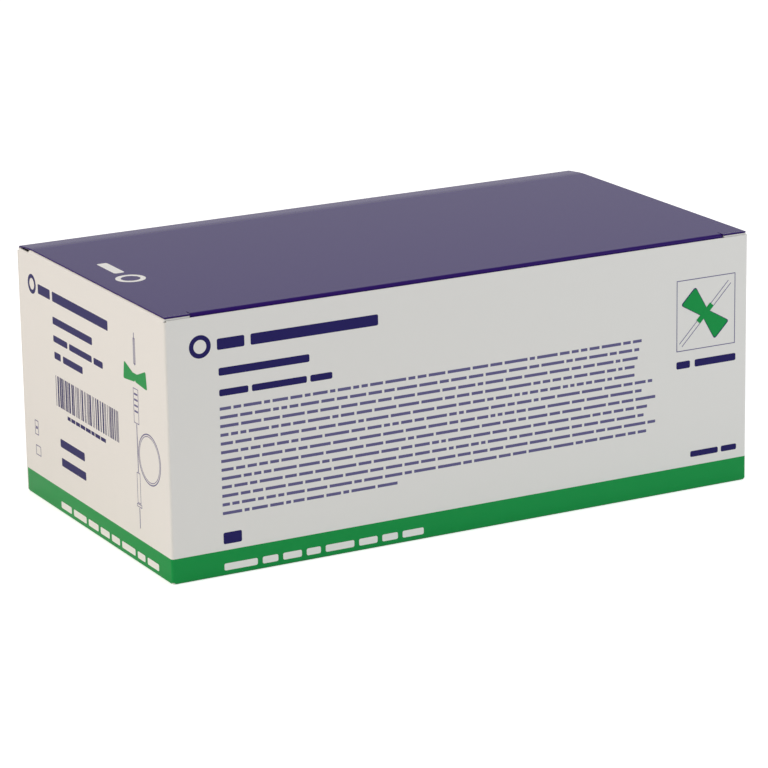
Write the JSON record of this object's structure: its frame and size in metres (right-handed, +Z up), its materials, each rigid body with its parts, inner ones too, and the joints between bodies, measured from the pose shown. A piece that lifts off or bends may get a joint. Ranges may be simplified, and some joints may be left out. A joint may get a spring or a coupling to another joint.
{
  "type": "folding carton of winged needle sets",
  "caption": "Closed tuck-top folding carton: hinged lid with a tuck flap, two dust flaps and a glued base, full of sealed winged needle packs.",
  "frame": {"origin": "centre of the carton's base, on the surface that it stands on", "axes": "+X along the long front, to the right as seen from the front; the front faces -Y and the lid's crease is at +Y; +Z up"},
  "size_m": [0.27, 0.146, 0.1089],
  "materials": {
    "white_board": "satin",
    "indigo_board": "satin",
    "pack_film": "satin"
  },
  "bodies": {
    "carton": {"carton": "white_board", "set_pack_01": "pack_film", "set_pack_02": "pack_film", "set_pack_03": "pack_film", "set_pack_04": "pack_film", "set_pack_05": "pack_film", "set_pack_06": "pack_film", "set_pack_07": "pack_film", "set_pack_08": "pack_film", "set_pack_09": "pack_film", "set_pack_10": "pack_film", "set_pack_11": "pack_film", "set_pack_12": "pack_film", "set_pack_13": "pack_film", "set_pack_14": "pack_film", "set_pack_15": "pack_film", "set_pack_16": "pack_film", "set_pack_17": "pack_film", "set_pack_18": "pack_film", "set_pack_19": "pack_film", "set_pack_20": "pack_film", "set_pack_21": "pack_film", "set_pack_22": "pack_film", "set_pack_23": "pack_film", "set_pack_24": "pack_film", "set_pack_25": "pack_film", "set_pack_26": "pack_film", "set_pack_27": "pack_film", "set_pack_28": "pack_film", "set_pack_29": "pack_film", "set_pack_30": "pack_film", "set_pack_31": "pack_film", "set_pack_32": "pack_film", "set_pack_33": "pack_film", "set_pack_34": "pack_film", "set_pack_35": "pack_film", "set_pack_36": "pack_film", "set_pack_37": "pack_film", "set_pack_38": "pack_film", "set_pack_39": "pack_film", "set_pack_40": "pack_film", "set_pack_41": "pack_film", "set_pack_42": "pack_film", "set_pack_43": "pack_film", "set_pack_44": "pack_film", "set_pack_45": "pack_film", "set_pack_46": "pack_film", "set_pack_47": "pack_film", "set_pack_48": "pack_film", "set_pack_49": "pack_film", "set_pack_50": "pack_film"},
    "lid": {"lid": "indigo_board"}
  },
  "joints": [
    {"name": "lid_hinge", "type": "hinge", "parent": "carton", "child": "lid", "pos_m": [0, 0.073, 0.1058], "axis": [-1, 0, 0], "range_deg": [0, 175]}
  ]
}
